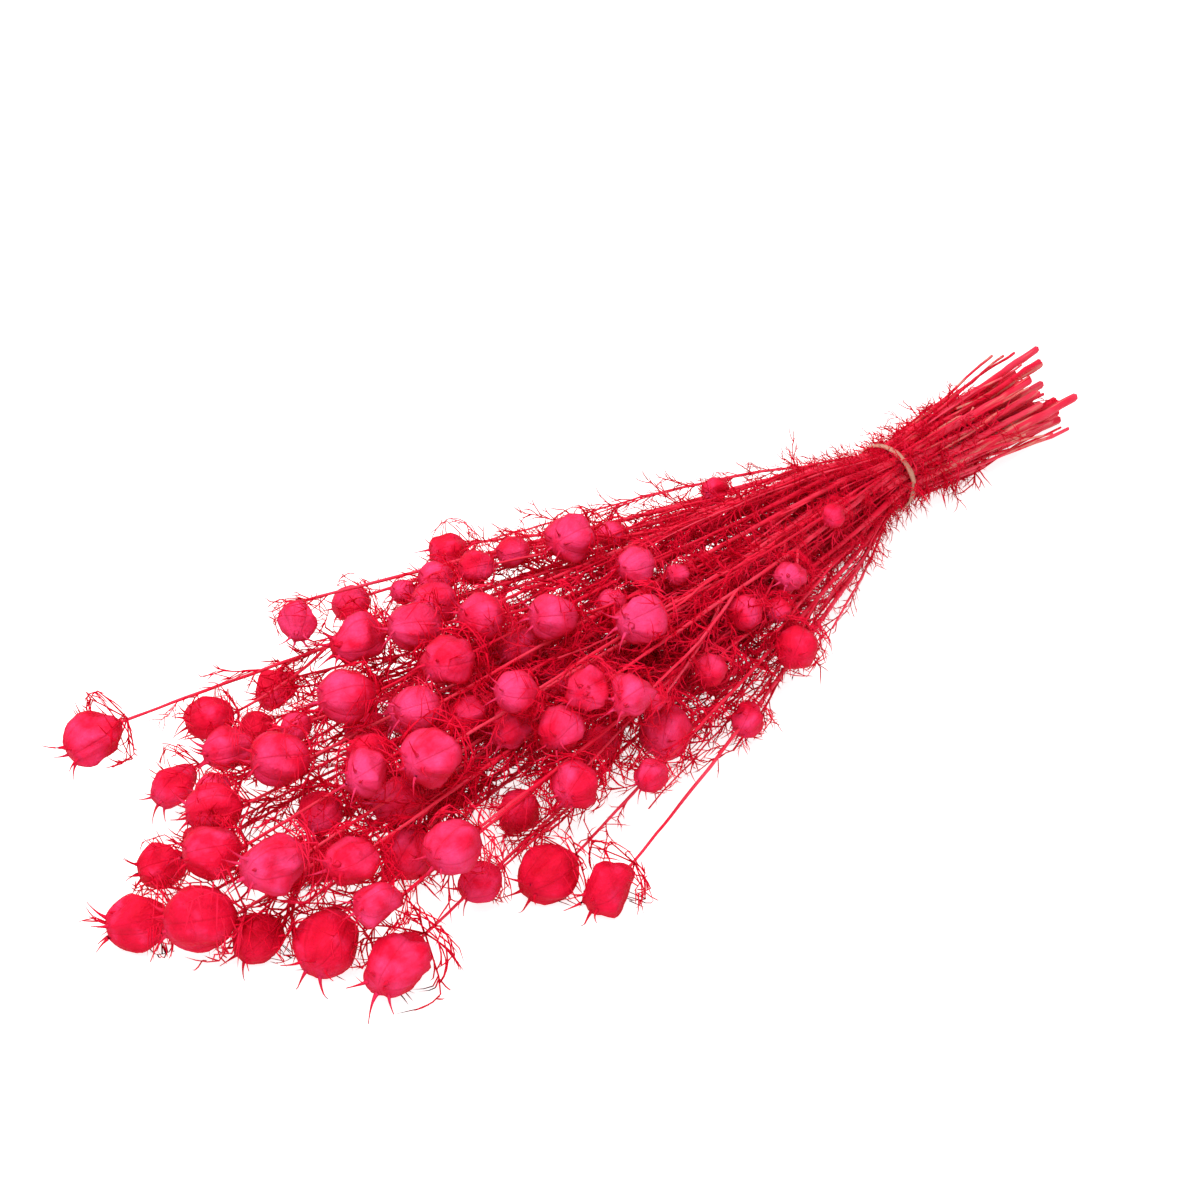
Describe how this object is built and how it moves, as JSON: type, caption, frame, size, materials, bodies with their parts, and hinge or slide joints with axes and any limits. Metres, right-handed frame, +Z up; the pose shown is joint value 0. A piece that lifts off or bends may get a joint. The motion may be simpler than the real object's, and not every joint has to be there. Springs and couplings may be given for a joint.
{
  "type": "bunch of dried love in a mist pods",
  "caption": "Tied bunch of dried love in a mist lying on its side: dyed cerise seed pods with horns, branching stems and thread leaves, held by one band.",
  "frame": {"origin": "middle of the base of the bounding box, on the surface that the bunch lies on", "axes": "+X along the bunch towards the cut ends, pods towards -X, +Y to the far side, +Z up"},
  "size_m": [0.5904, 0.2156, 0.084],
  "materials": {
    "dyed_plant": "dry, papery and matt, dyed cerise pink",
    "band": "matt, pale tan"
  },
  "bodies": {
    "root": {"spray_01": "dyed_plant", "spray_02": "dyed_plant", "spray_03": "dyed_plant", "spray_04": "dyed_plant", "spray_05": "dyed_plant", "spray_06": "dyed_plant", "spray_07": "dyed_plant", "spray_08": "dyed_plant", "spray_09": "dyed_plant", "spray_10": "dyed_plant", "spray_11": "dyed_plant", "spray_12": "dyed_plant", "spray_13": "dyed_plant", "spray_14": "dyed_plant", "spray_15": "dyed_plant", "spray_16": "dyed_plant", "spray_17": "dyed_plant", "spray_18": "dyed_plant", "spray_19": "dyed_plant", "spray_20": "dyed_plant", "spray_21": "dyed_plant", "spray_22": "dyed_plant", "spray_23": "dyed_plant", "spray_24": "dyed_plant", "spray_25": "dyed_plant", "spray_26": "dyed_plant", "spray_27": "dyed_plant", "spray_28": "dyed_plant", "spray_29": "dyed_plant", "spray_30": "dyed_plant", "tie_band": "band"}
  },
  "joints": []
}
